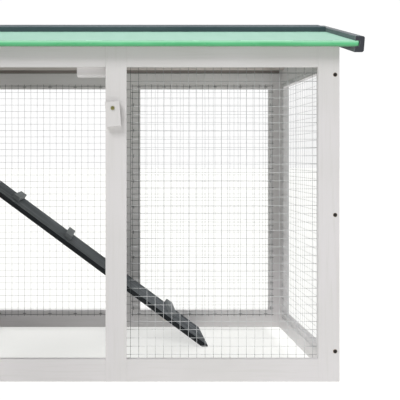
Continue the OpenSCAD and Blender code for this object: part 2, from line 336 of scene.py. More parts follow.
def new_material(name: str) -> tuple[bpy.types.Material, bpy.types.NodeTree, bpy.types.Node]:
    """Makes a material with an empty Principled shader.

    Args:
        name: Name of the material.

    Returns:
        The material, its tree and its shader node.
    """
    material = bpy.data.materials.new(name)
    material.use_nodes = True
    tree = material.node_tree
    tree.nodes.clear()
    shader = add_node(tree, "BsdfPrincipled")
    add_node(tree, "OutputMaterial", links={"Surface": shader.outputs["BSDF"]})
    return material, tree, shader


def mixed(
    tree: bpy.types.NodeTree, share: bpy.types.NodeSocket, first: object, second: object
) -> bpy.types.NodeSocket:
    """Mixes two colours by a share.

    Args:
        tree: The node tree.
        share: Socket that gives how much of the second colour shows.
        first: A colour or a colour socket.
        second: A colour or a colour socket.

    Returns:
        The mixed colour's socket.
    """
    values, links = {}, {0: share}
    for slot, colour in ((6, first), (7, second)):
        if isinstance(colour, bpy.types.NodeSocket):
            links[slot] = colour
        else:
            values[slot] = colour
    return add_node(tree, "Mix", values, links, data_type="RGBA").outputs[2]


def ramped(
    tree: bpy.types.NodeTree, value: bpy.types.NodeSocket, low: float, high: float, top: float = 1.0
) -> bpy.types.NodeSocket:
    """Stretches a value between two limits to the range from nought to top.

    Args:
        tree: The node tree.
        value: The value's socket.
        low: The value that becomes nought.
        high: The value that becomes top.
        top: The largest result.

    Returns:
        The result's socket.
    """
    return add_node(
        tree, "MapRange",
        {"From Min": low, "From Max": high, "To Min": 0.0, "To Max": top}, {"Value": value},
    ).outputs["Result"]


def noise_field(
    tree: bpy.types.NodeTree, place: bpy.types.NodeSocket, scale: float, detail: float,
    roughness: float = 0.5,
) -> bpy.types.NodeSocket:
    """Adds a noise field over a place.

    Args:
        tree: The node tree.
        place: Socket of the coordinates.
        scale: Waves in one unit of the coordinates.
        detail: How many finer layers it has.
        roughness: How strong the finer layers are.

    Returns:
        The field's socket.
    """
    values = {"Scale": scale, "Detail": detail, "Roughness": roughness}
    return add_node(tree, "TexNoise", values, {"Vector": place}).outputs["Fac"]


def vary_roughness(
    tree: bpy.types.NodeTree, shader: bpy.types.Node, field: bpy.types.NodeSocket, low: float, high: float
) -> None:
    """Lets the roughness of a finish follow a field between two values.

    Args:
        tree: The node tree.
        shader: The finish's shader.
        field: Socket of the field.
        low: Roughness where the field is nought.
        high: Roughness where the field is one.
    """
    rough = add_node(tree, "MapRange", {"To Min": low, "To Max": high}, {"Value": field})
    tree.links.new(rough.outputs["Result"], shader.inputs["Roughness"])


@dataclass(frozen=True)
class PaintedPine:
    """Planed softwood under one coat of water-based paint.

    The paint is even and satin. Soft grain ridges run along the timber under it, and a few knots
    show through as faint warm ovals.
    """

    name: str
    coat: str
    worn: str
    knot: str
    grain_mm: float = 7.0
    patch_mm: float = 260.0
    knot_mm: float = 170.0
    ridge_mm: float = 0.12
    roughness: float = 0.5
    sheen: float = 0.5
    streak: float = 0.5
    # Tone for faces square to the Y axis: painted shade on that side of the timber.
    y_face_shade: str | None = None

    def material(self, grain: Grain) -> bpy.types.Material:
        """Builds the finish for timber that runs along one axis.

        Args:
            grain: Direction of the timber.

        Returns:
            The material. Faces square to the Y axis are darker, as painted shade, where the finish has a tone
            for them.
        """
        material, tree, shader = new_material(f"{self.name}_{grain.name.lower()}")
        place = add_node(tree, "TexCoord").outputs["Object"]
        *axis, tip = grain.value
        if tip:
            turned = {"Rotation": (0.0, math.radians(tip), 0.0)}
            place = add_node(tree, "Mapping", turned, {"Vector": place}).outputs[0]
        across = 1 / (self.grain_mm * MM)
        stretch = [across * (0.045 if along else 1.0) for along in axis]
        laid = add_node(tree, "Mapping", {"Scale": stretch}, {"Vector": place}).outputs[0]
        streaks = noise_field(tree, laid, 1.0, 4.0, 0.6)
        fine = noise_field(tree, laid, 5.0, 2.0)
        patch = noise_field(tree, place, 1 / (self.patch_mm * MM), 3.0)
        oval = [(0.45 if along else 1.0) / (self.knot_mm * MM) for along in axis]
        spread = add_node(tree, "Mapping", {"Scale": oval, "Location": (0.31, 0.17, 0.43)}, {"Vector": place})
        cells = add_node(tree, "TexVoronoi", {"Scale": 1.0}, {"Vector": spread.outputs[0]})
        knots = ramped(tree, cells.outputs["Distance"], 0.075, 0.03, 0.5)
        tone = ramped(tree, patch, 0.38, 0.66, 0.55)
        shade = mixed(tree, tone, linear(self.coat), linear(self.worn))
        lines = ramped(tree, streaks, 0.5, 0.66, self.streak)
        grained = mixed(tree, lines, shade, linear(self.worn))
        colour = mixed(tree, knots, grained, linear(self.knot))
        # Faces square to the Y axis take the darker tone as painted shade.
        if self.y_face_shade:
            facing = add_node(tree, "SeparateXYZ", links={0: add_node(tree, "NewGeometry").outputs["Normal"]})
            square = add_node(tree, "Math", links={0: facing.outputs["Y"]}, operation="ABSOLUTE").outputs[0]
            colour = mixed(tree, ramped(tree, square, 0.8, 0.95, 0.9), colour, linear(self.y_face_shade))
        tree.links.new(colour, shader.inputs["Base Color"])
        shader.inputs["Specular IOR Level"].default_value = self.sheen
        vary_roughness(tree, shader, fine, self.roughness - 0.07, self.roughness + 0.1)
        relief = add_node(
            tree, "Bump", {"Strength": 0.55, "Distance": self.ridge_mm * MM},
            {"Height": streaks},
        )
        brushed = add_node(
            tree, "Bump", {"Strength": 0.3, "Distance": self.ridge_mm * MM},
            {"Height": fine, "Normal": relief.outputs[0]},
        )
        tree.links.new(brushed.outputs[0], shader.inputs["Normal"])
        return material


@dataclass(frozen=True)
class Galvanised:
    """Steel with a zinc skin: grey, softly shining, with faint spangles."""

    name: str
    light: str
    dark: str
    spangle_mm: float
    roughness: float = 0.42
    metallic: float = 0.85

    def material(self) -> bpy.types.Material:
        """Builds the finish and returns its material."""
        material, tree, shader = new_material(self.name)
        place = add_node(tree, "TexCoord").outputs["Object"]
        cells = add_node(tree, "TexVoronoi", {"Scale": 1 / (self.spangle_mm * MM)}, {"Vector": place})
        cloud = noise_field(tree, place, 0.3 / (self.spangle_mm * MM), 3.0)
        grey = add_node(tree, "SeparateColor", links={"Color": cells.outputs["Color"]}).outputs[0]
        both = add_node(tree, "Math", links={0: grey, 1: cloud}, operation="MULTIPLY")
        colour = mixed(tree, ramped(tree, both.outputs[0], 0.1, 0.6), linear(self.light), linear(self.dark))
        tree.links.new(colour, shader.inputs["Base Color"])
        vary_roughness(tree, shader, cloud, self.roughness - 0.08, self.roughness + 0.1)
        shader.inputs["Metallic"].default_value = self.metallic
        return material


@dataclass(frozen=True)
class MeshWire:
    """Galvanised mesh wire: bright zinc in the open span, darker along the timber as painted shade.

    The sheets carry a value on their points for this painted shade, one along the frame and nought inside.
    """

    name: str
    bright: str
    # Tone of the painted shade on the wire along the timber.
    frame_shade_tone: str
    pale: str = "#C9CCCE"
    streak_mm: float = 8.0
    roughness: float = 0.5

    def material(self) -> bpy.types.Material:
        """Builds the finish and returns its material."""
        material, tree, shader = new_material(self.name)
        place = add_node(tree, "TexCoord").outputs["Object"]
        streaks = noise_field(tree, place, 1 / (self.streak_mm * MM), 2.0)
        # Along the frame the wire takes the dark tone: painted shade.
        frame_shade = add_node(tree, "Attribute", attribute_name="frame_shade").outputs["Fac"]
        paler = ramped(tree, streaks, 0.35, 0.7, 0.5)
        zinc = mixed(tree, paler, linear(self.bright), linear(self.pale))
        tree.links.new(mixed(tree, frame_shade, zinc, linear(self.frame_shade_tone)), shader.inputs["Base Color"])
        vary_roughness(tree, shader, streaks, self.roughness - 0.1, self.roughness + 0.15)
        shader.inputs["Metallic"].default_value = 0.45
        return material


@dataclass(frozen=True)
class HollowSheet:
    """Extruded green hollow-core sheet, softly drawn along its cores, its skin with a satin gloss; a pale
    copy carries painted reflection and a dark copy painted shade.
    """

    name: str
    body: str
    deep: str
    drawn_mm: float = 40.0
    roughness: float = 0.5

    def material(self) -> bpy.types.Material:
        """Builds the finish and returns its material."""
        material, tree, shader = new_material(self.name)
        place = add_node(tree, "TexCoord").outputs["Object"]
        cloud = noise_field(tree, place, 5.0, 2.0)
        along = (1 / (self.drawn_mm * MM), 6.0, 6.0)
        drawn = add_node(tree, "Mapping", {"Scale": along}, {"Vector": place})
        lines = noise_field(tree, drawn.outputs[0], 1.0, 1.0)
        fields = {0: cloud, 1: lines}
        share = add_node(tree, "Math", links=fields, operation="MULTIPLY")
        colour = mixed(tree, ramped(tree, share.outputs[0], 0.12, 0.42), linear(self.body), linear(self.deep))
        tree.links.new(colour, shader.inputs["Base Color"])
        vary_roughness(tree, shader, lines, self.roughness - 0.02, self.roughness + 0.05)
        shader.inputs["IOR"].default_value = 1.49
        return material


@dataclass(frozen=True)
class SheetEdge:
    """Closed eave edge of the green sheet in long soft patches: palest on top as a painted highlight, darker
    at the foot as painted shade.
    """

    name: str
    top: str
    body: str
    patch: str
    low: str
    patch_mm: float = 120.0

    def material(self) -> bpy.types.Material:
        """Builds the finish and returns its material."""
        material, tree, shader = new_material(self.name)
        place = add_node(tree, "TexCoord").outputs["Object"]
        height = add_node(tree, "SeparateXYZ", links={0: place}).outputs["Z"]
        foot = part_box("roof_sheet_front")[0][2]
        scale = 1 / (self.patch_mm * MM)
        stretched = add_node(tree, "Mapping", {"Scale": (scale, scale, 4 * scale)}, {"Vector": place})
        cloud = noise_field(tree, stretched.outputs[0], 1.0, 3.0)
        colour = mixed(
            tree, ramped(tree, cloud, 0.4, 0.62), linear(self.body), linear(self.patch)
        )
        # Painted shade darkens the foot of the edge and a painted highlight lightens its top.
        colour = mixed(tree, ramped(tree, height, foot + 5 * MM, foot + 1 * MM), colour, linear(self.low))
        colour = mixed(tree, ramped(tree, height, foot + 6 * MM, foot + 11 * MM), colour, linear(self.top))
        tree.links.new(colour, shader.inputs["Base Color"])
        rough = ramped(tree, cloud, 0.2, 0.8, 0.5)
        tree.links.new(rough, shader.inputs["Roughness"])
        shader.inputs["IOR"].default_value = 1.49
        return material


@dataclass(frozen=True)
class StudioFloor:
    """Seamless pale studio floor, evenly lit, with a faint paper tooth.

    It glows, less inside the footprint of the hutch and least under the house. The camera sees a
    brighter glow outside the footprint than the hutch receives, so no shadow shows round it.
    Lengths are in metres. The fade is the stretch on both sides of the house wall over which the
    glow under the house rises to that of the run: its end differs for light and for the camera.
    """

    paper: str = "#B4B4B2"
    tooth: str = "#B1B1AE"
    glow: float = 0.64
    glow_seen: float = 1.06
    glow_in_run: float = 0.6
    glow_under_house: float = 0.1
    soft_edge: float = 0.02
    fade_start: float = 0.08
    fade_end_lit: float = 0.5
    fade_end_seen: float = 0.04

    def material(self) -> bpy.types.Material:
        """Builds the finish, lit more dimly where the hutch stands, and returns its material."""
        material, tree, shader = new_material("studio_floor")
        place = add_node(tree, "TexCoord").outputs["Object"]
        axes = add_node(tree, "SeparateXYZ", links={0: place})
        low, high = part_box("front_sills")[0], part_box("back_sills")[1]
        run_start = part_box("partition")[0][0]
        steps = []
        for axis, start, end in (("X", low[0], high[0]), ("Y", low[1], high[1])):
            steps.append(ramped(tree, axes.outputs[axis], start, start + self.soft_edge))
            steps.append(ramped(tree, axes.outputs[axis], end, end - self.soft_edge))
        inside = steps[0]
        for step in steps[1:]:
            inside = add_node(tree, "Math", links={0: inside, 1: step}, operation="MULTIPLY").outputs[0]
        seen = add_node(tree, "LightPath").outputs["Is Camera Ray"]
        reach = {"To Min": self.fade_end_lit, "To Max": self.fade_end_seen}
        fade = add_node(tree, "MapRange", reach, {"Value": seen}).outputs["Result"]
        in_run = add_node(
            tree, "MapRange", {"From Min": run_start - self.fade_start},
            {"Value": axes.outputs["X"], "From Max": add_node(
                tree, "Math", {1: run_start}, {0: fade}, operation="ADD"
            ).outputs[0]},
        ).outputs["Result"]
        glows = {"To Min": self.glow_under_house, "To Max": self.glow_in_run}
        dim = add_node(tree, "MapRange", glows, {"Value": in_run}).outputs["Result"]
        glows = {"To Min": self.glow, "To Max": self.glow_seen}
        outside = add_node(tree, "MapRange", glows, {"Value": seen}).outputs["Result"]
        glow = add_node(tree, "Mix", {}, {0: inside, 2: outside, 3: dim}, data_type="FLOAT").outputs[0]
        tree.links.new(glow, shader.inputs["Emission Strength"])
        tooth = noise_field(tree, place, 3.0, 4.0)
        toothed = ramped(tree, tooth, 0.3, 0.8, 0.3)
        colour = mixed(tree, toothed, linear(self.paper), linear(self.tooth))
        away = add_node(tree, "Math", {0: 1.0}, {1: inside}, operation="SUBTRACT")
        plain = add_node(tree, "Math", links={0: seen, 1: away.outputs[0]}, operation="MULTIPLY")
        colour = mixed(tree, plain.outputs[0], colour, linear("#000000"))
        tree.links.new(colour, shader.inputs["Base Color"])
        shader.inputs["Roughness"].default_value = 0.95
        shader.inputs["Emission Color"].default_value = (1.0, 1.0, 0.975, 1.0)
        return material


# Timber: name, coat, worn coat and knots. An extra tone darkens the faces square to the Y axis as painted
# shade.
WHITE_PAINT = PaintedPine("white_painted_pine", "#E6E3E4", "#DCDAD8", "#D9CDB6")
SLATE_PAINT = PaintedPine(
    "slate_painted_pine", "#4B5B62", "#5C6B70", "#3C474B", ridge_mm=0.16, roughness=0.6, sheen=0.25
)
SLATE_TRIM = PaintedPine(
    "slate_painted_trim", "#6B7377", "#7B8285", "#474F53", ridge_mm=0.2, roughness=0.6, sheen=0.3,
    y_face_shade="#33343C",
)
# Grey-brown pine for the rear fascia: painted shade in the gap under the back eave.
FASCIA_SHADE_PINE = PaintedPine("fascia_pine_in_painted_shade", "#988F8C", "#887E7A", "#5C4E46", streak=0.8)
# Greyed white paint on the eave battens: painted shade under the roof edge.
EAVE_SHADE_PAINT = PaintedPine("white_pine_in_painted_eave_shade", "#BFB8B3", "#ACA49E", "#8F8377", streak=0.8)
RAW_PINE = PaintedPine("raw_pine_round_the_screws", "#B8A48E", "#A48C72", "#8A6238", grain_mm=2.0)
CHARCOAL_STAIN = PaintedPine(
    "charcoal_stained_pine", "#54595D", "#878B8F", "#2E3235", grain_mm=22.0, ridge_mm=0.5, roughness=0.7,
    sheen=0.15, streak=0.9, y_face_shade="#101416",
)
# A lighter copy of the charcoal stain for the cleats: painted light on their lit faces.
CHARCOAL_STAIN_LIT_CLEAT = PaintedPine(
    "charcoal_stained_cleat_painted_light", "#85898B", "#999DA0", "#2E3235", grain_mm=6.0, ridge_mm=0.3, roughness=0.6
)
# Metal: name, light and dark zinc, or bright wire and its painted shade along the timber.
WIRE = MeshWire("galvanised_mesh_wire", "#E6E7E8", "#56595B")
PLATE = Galvanised("zinc_plate", "#B9BDC0", "#9CA1A5", spangle_mm=3.0, roughness=0.34)
PAN = Galvanised("galvanised_pan", "#B4B9BC", "#92989C", spangle_mm=14.0, roughness=0.38)
YELLOW_ZINC = Galvanised(
    "yellow_zinc_screw", "#A7A368", "#5C5C3A", spangle_mm=1.5, roughness=0.45, metallic=0.6
)
DARK_SCREW = Galvanised("bronzed_screw", "#2E2A28", "#1B1817", spangle_mm=1.5, roughness=0.8, metallic=0.0)
# Roof sheet: name and its two greens; the edge has its top, body, patches and foot. The underside's dark
# green and the edge's darker foot are painted shade, the edge's pale top a painted highlight.
# Upper skin: the sheet's green made paler, as a painted reflection of the white studio.
SHEET = HollowSheet("green_hollow_sheet", "#AAE0C9", "#A3DAC2")
# Underside: a dark green that is painted shade under the roof.
SHADED_UNDERSIDE = HollowSheet("green_sheet_underside_painted_shade", "#3E6644", "#375C3E")
EDGE = SheetEdge("green_sheet_edge", "#B4F6D0", "#62CF8F", "#4ABF7A", "#58A572")


# ---- the workshop: names, bodies and slots ----------------------------------------------------


@dataclass
class Workshop:
    """Hands out materials and books every finished piece to its body and frame nodes."""

    body_of_node: dict[str, str] = field(default_factory=dict)
    slot_of_node: dict[str, str] = field(default_factory=dict)
    paints: dict[tuple[str, Grain], bpy.types.Material] = field(default_factory=dict)
    metals: dict[str, bpy.types.Material] = field(default_factory=dict)
    pieces: int = 0

    def __post_init__(self) -> None:
        """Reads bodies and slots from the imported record."""
        record = frame["record"]
        for body, nodes in record["behaviour"]["bodies"].items():
            self.body_of_node.update({node: body for node in nodes})
        self.slot_of_node.update({s["node"]: s["material_slot"] for s in record["subparts"]})

    def paint(self, finish: PaintedPine, grain: Grain) -> bpy.types.Material:
        """Gives a paint for timber that runs one way, made once.

        Args:
            finish: The paint.
            grain: Direction of the timber.

        Returns:
            The material.
        """
        key = (finish.name, grain)
        if key not in self.paints:
            self.paints[key] = finish.material(grain)
        return self.paints[key]

    def metal(self, finish: Galvanised | MeshWire | HollowSheet) -> bpy.types.Material:
        """Gives a finish without grain, made once.

        Args:
            finish: The finish.

        Returns:
            The material.
        """
        if finish.name not in self.metals:
            self.metals[finish.name] = finish.material()
        return self.metals[finish.name]

    def book(
        self,
        piece: bpy.types.Object,
        name: str,
        material: bpy.types.Material,
        node: str,
        stands_for: bool = True,
        body: str | None = None,
    ) -> bpy.types.Object:
        """Names and dresses a piece and ties it to the frame.

        Args:
            piece: The finished object.
            name: Its name.
            material: Its finish.
            node: The frame node that it belongs to, which gives its body.
            stands_for: Whether it hides that node.
            body: Body to ride on, when it isn't the node's own.

        Returns:
            The same object.
        """
        piece.name = name
        piece.data.name = name
        piece.data.materials.clear()
        piece.data.materials.append(material)
        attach(piece, body or self.body_of_node[node])
        if stands_for:
            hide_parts(node)
        self.pieces += 1
        LOG.info("%s rides on %s, %d faces", name, body or self.body_of_node[node], len(piece.data.polygons))
        return piece


# ---- timber --------------------------------------------------------------------------------


@dataclass
class Timber:
    """Planed timber with eased edges, cut to the frame's own outlines."""

    shop: Workshop
    edge: float = 0.5 * MM
    worn_edge: float = 1.3 * MM

    upright: tuple[str, ...] = (
        "front_left_post", "front_house_post", "front_centre_post", "front_right_post",
        "back_right_post", "back_centre_posts", "back_house_posts", "right_stiles", "left_stiles",
        "run_door_stiles", "house_door_boards", "partition",
    )
    handled: tuple[str, ...] = ("run_button", "house_button")
    lengthwise: tuple[str, ...] = (
        "front_top_rails", "front_sills", "front_mid_rail", "back_top_rails", "back_sills",
        "back_mid_rail", "floor_bearers", "ridge_beam", "house_door_ledges",
    )
    loose: tuple[str, ...] = ("stop_block", "tray_front")
    endwise: tuple[str, ...] = ("right_rails", "left_rails", "right_gable", "left_gable", "run_door_rails")
    slate_lengthwise: tuple[str, ...] = ("ridge_boards", "tray_pull")
    slate_endwise: tuple[str, ...] = ("trim_right_front", "back_slope_trims", "ridge_end_stub", "lid_timber")

    def build(self) -> None:
        """Makes every plain timber."""
        groups = (
            (self.upright, WHITE_PAINT, Grain.Z, self.edge),
            (self.handled, WHITE_PAINT, Grain.Z, self.worn_edge),
            (self.lengthwise, WHITE_PAINT, Grain.X, self.edge),
            (("eave_battens",), EAVE_SHADE_PAINT, Grain.X, self.edge),
            (self.loose, WHITE_PAINT, Grain.X, self.worn_edge),
            (self.endwise, WHITE_PAINT, Grain.Y, self.edge),
            (self.slate_lengthwise, SLATE_PAINT, Grain.X, self.edge),
            (self.slate_endwise, SLATE_TRIM, Grain.Y, self.edge),
            (("ramp_board",), CHARCOAL_STAIN, Grain.RAMP, self.worn_edge),
            (("ramp_cleats",), CHARCOAL_STAIN_LIT_CLEAT, Grain.Y, self.worn_edge),
        )
        for nodes, finish, grain, edge in groups:
            for node in nodes:
                piece = ease(merged_copy(node), edge)
                self.shop.book(piece, f"{node}_timber", self.shop.paint(finish, grain), node)
        self.fascia()

    def fascia(self) -> None:
        """Fits the fascia strip that closes the rear eave above the back rail; its grey tone is painted shade
        in the gap under the roof.
        """
        rail_low, rail_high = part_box("back_top_rails")
        ends_low, ends_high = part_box("right_gable")[0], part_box("left_gable")[1]
        strip = cube(
            (ends_high[0], rail_low[1] + 0.5 * MM, rail_high[2] + 0.3 * MM),
            (ends_low[0], rail_low[1] + 4 * MM, rail_high[2] + 9 * MM),
        )
        ease(strip, self.edge)
        # The strip's dark tone is painted shade for the shaded gap under the roof.
        bare_pine_or_painted_shade = self.shop.paint(FASCIA_SHADE_PINE, Grain.X)
        self.shop.book(strip, "rear_eave_fascia", bare_pine_or_painted_shade, "ridge_beam", stands_for=False)


@dataclass
class BoardedPanels:
    """Tongued boards with V-joints for the house walls and its floor."""

    shop: Workshop
    joint: float = 2.2 * MM
    board: float = 89 * MM

    def boarded(self, node: str, across: int, grain: Grain) -> None:
        """Fills a frame node's box with boards side by side.

        Args:
            node: The frame node.
            across: Axis along which the boards follow each other.
            grain: Direction of the boards.
        """
        low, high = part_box(node)
        low, high = Vector(low), Vector(high)
        count = max(2, round((high[across] - low[across]) / self.board))
        width = (high[across] - low[across]) / count
        step = Vector()
        step[across] = width
        top = high.copy()
        top[across] = low[across] + width
        model = ease(cube(low, top), self.joint, segments=2)
        places = [Matrix.Translation(step * i) for i in range(count)]
        self.shop.book(copies(model, places), f"{node}_boards", self.shop.paint(WHITE_PAINT, grain), node)

    def build(self) -> None:
        """Makes the two walls and the floor."""
        self.boarded("left_wall", 1, Grain.Z)
        self.boarded("back_wall", 0, Grain.Z)
        self.boarded("house_floor", 1, Grain.X)


# ---- welded wire ---------------------------------------------------------------------------


@dataclass
class WirePanels:
    """Sheets of welded wire stapled to the inside of the frame."""

    shop: Workshop
    pitch: float = 19.0 * MM
    radius: float = 0.46 * MM
    tail: float = 2.5 * MM
    sides: int = 6
    sway: float = 0.5 * MM
    staple_every: int = 4

    def wires(self, along: int, run: tuple[float, float], across: int, span: tuple[float, float],
              normal: int, level: float) -> bpy.types.Object:
        """Makes all the wires of one direction: one wire, subdivided and arrayed.

        Args:
            along: Axis that the wires follow.
            run: Where a wire starts and ends on that axis.
            across: Axis on which they are spaced.
            span: Limits of the sheet on that axis.
            normal: Axis square to the sheet.
            level: Place of the wires on that axis.

        Returns:
            The joined wires.
        """
        count = int((span[1] - span[0] - 2 * self.tail) / self.pitch) + 1
        first = (span[0] + span[1]) / 2 - (count - 1) * self.pitch / 2
        start, end = Vector(), Vector()
        start[along], end[along] = run
        start[across] = end[across] = first
        start[normal] = end[normal] = level
        wire = rod(start, end, self.radius, self.sides)
        edit(wire, "EDGE")
        bpy.ops.mesh.select_all(action="DESELECT")
        done()
        for edge in wire.data.edges:
            a, b = (wire.data.vertices[i].co for i in edge.vertices)
            edge.select = abs(a[along] - b[along]) > self.pitch
        bpy.ops.object.mode_set(mode="EDIT")
        bpy.ops.mesh.subdivide(number_cuts=max(3, round((run[1] - run[0]) / (3 * self.pitch))))
        done()
        offset = Vector()
        offset[across] = self.pitch
        use_modifier(
            wire, "ARRAY", count=count, use_relative_offset=False, use_constant_offset=True,
            constant_offset_displace=offset,
        )
        return wire

    def staple(self, crown: int, normal: int, inwards: float) -> bpy.types.Object:
        """Models one wire staple at the origin, its legs driven into the wood.

        Args:
            crown: Axis that its crown follows.
            normal: Axis that its legs follow.
            inwards: Sign of the direction from the wood to the inside.

        Returns:
            The staple.
        """
        half, thick, leg = 5 * MM, 0.6 * MM, 3 * MM
        low, high = Vector((-thick,) * 3), Vector((thick,) * 3)
        low[crown], high[crown] = -half, half
        made = ease(cube(low, high), 0.35 * MM, segments=1)
        legs = [made]
        for side in (-half + thick, half - thick):
            low, high = Vector((-thick,) * 3), Vector((thick,) * 3)
            low[crown], high[crown] = side - thick, side + thick
            low[normal], high[normal] = sorted((0.0, -inwards * leg))
            legs.append(cube(low, high))
        return join(legs)

    def mark_frame_shade(self, mesh: bpy.types.Object, low: Vector, high: Vector, across: int, upright: int,
                  reach: tuple[float, float, float, float]) -> None:
        """Writes how strong the painted shade on the wire is at every point, one along the timber and nought
        in the span.

        Args:
            mesh: The sheet.
            low: Its lowest corner.
            high: Its highest corner.
            across: Its level axis.
            upright: Its upright axis.
            reach: How far the painted shade reaches in from the left or near, right or far, lower and upper
                edge.
        """
        values = mesh.data.attributes.new("frame_shade", "FLOAT", "POINT")
        for vertex in mesh.data.vertices:
            at = vertex.co
            inside = (
                at[across] - low[across], high[across] - at[across], at[upright] - low[upright],
                high[upright] - at[upright],
            )
            deepest = max(limit - depth for limit, depth in zip(reach, inside))
            values.data[vertex.index].value = max(0.0, min(1.0, deepest / (6 * MM) + 0.5))

    def sheet(self, name: str, node: str, box: Box, inwards: float,
              reach: tuple[float, float, float, float]) -> bpy.types.Object:
        """Makes one sheet of mesh with its staples.

        Args:
            name: Name of the piece.
            node: Frame node that the sheet belongs to.
            box: The sheet's box.
            inwards: Sign of the direction from the wood to the inside.
            reach: How far the painted shade reaches in from each of its four edges.

        Returns:
            The finished sheet.
        """
        low, high = Vector(box[0]), Vector(box[1])
        size = high - low
        normal = min(range(3), key=lambda i: size[i])
        across, upright = [i for i in range(3) if i != normal]
        wood = low[normal] if inwards > 0 else high[normal]
        level = [wood + inwards * self.radius * k for k in (1.0, 2.8)]
        runs = {i: (low[i], high[i]) for i in (across, upright)}
        parts = [
            self.wires(upright, runs[upright], across, runs[across], normal, level[0]),
            self.wires(across, runs[across], upright, runs[upright], normal, level[1]),
        ]
        parts += self.staples(low, high, across, upright, normal, inwards, wood)
        mesh = join(parts)
        self.mark_frame_shade(mesh, low, high, across, upright, reach)
        for vertex in mesh.data.vertices:
            bend = noise.noise_vector(vertex.co * 9.0)
            fine = noise.noise_vector(vertex.co * 31.0)
            vertex.co += (bend + fine * 0.35) * self.sway
        select(mesh)
        bpy.ops.object.shade_smooth()
        return self.shop.book(mesh, name, self.shop.metal(WIRE), node)

    def staples(self, low: Vector, high: Vector, across: int, upright: int, normal: int,
                inwards: float, wood: float) -> list[bpy.types.Object]:
        """Sets staples over the wires all round a sheet.

        Args:
            low: Lowest corner of the sheet.
            high: Highest corner.
            across: Its level axis.
            upright: Its upright axis.
            normal: Axis square to it.
            inwards: Sign of the direction from the wood to the inside.
            wood: Place of the wood's face on that axis.

        Returns:
            Two joined groups: those on level timbers and those on upright ones.
        """
        inset = 8 * MM
        groups = []
        for run, edge in ((across, upright), (upright, across)):
            count = int((high[run] - low[run] - 2 * self.tail) / self.pitch) + 1
            first = (low[run] + high[run]) / 2 - (count - 1) * self.pitch / 2
            places = []
            for i in range(1, count - 1, self.staple_every):
                for side in (low[edge] + inset, high[edge] - inset):
                    spot = Vector()
                    spot[run] = first + i * self.pitch
                    spot[edge] = side
                    spot[normal] = wood + inwards * self.radius * 3.0
                    places.append(Matrix.Translation(spot))
            groups.append(copies(self.staple(run, normal, inwards), places))
        return groups

    def build(self) -> None:
        """Makes every sheet of the hutch."""
        all_round = (20 * MM,) * 4
        # Each sheet: node, inward sign and how far the painted shade on the wire reaches in from its four
        # edges.
        plain = (
            ("front_run_mesh", 1.0, (46 * MM, 8 * MM, 8 * MM, 46 * MM)),
            ("back_right_mesh", -1.0, (31 * MM, 17 * MM, 20 * MM, 17 * MM)),
            ("back_left_mesh", -1.0, (22 * MM, 22 * MM, 20 * MM, 17 * MM)),
            ("right_mesh", -1.0, (14 * MM, 2 * MM, -9 * MM, -9 * MM)), ("run_door_mesh", 1.0, all_round),
        )
        for node, inwards, reach in plain:
            self.sheet(node + "_wires", node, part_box(node), inwards, reach)
        for index, box in enumerate(solids_of("low_meshes")):
            middle = (box[0] + box[1]) / 2
            centre = sum(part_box("house_floor"), Vector()) / 2
            normal = min(range(3), key=lambda i: (box[1] - box[0])[i])
            inwards = 1.0 if centre[normal] > middle[normal] else -1.0
            self.sheet(f"low_mesh_{index}_wires", "low_meshes", box, inwards, all_round)


# ---- roof ----------------------------------------------------------------------------------


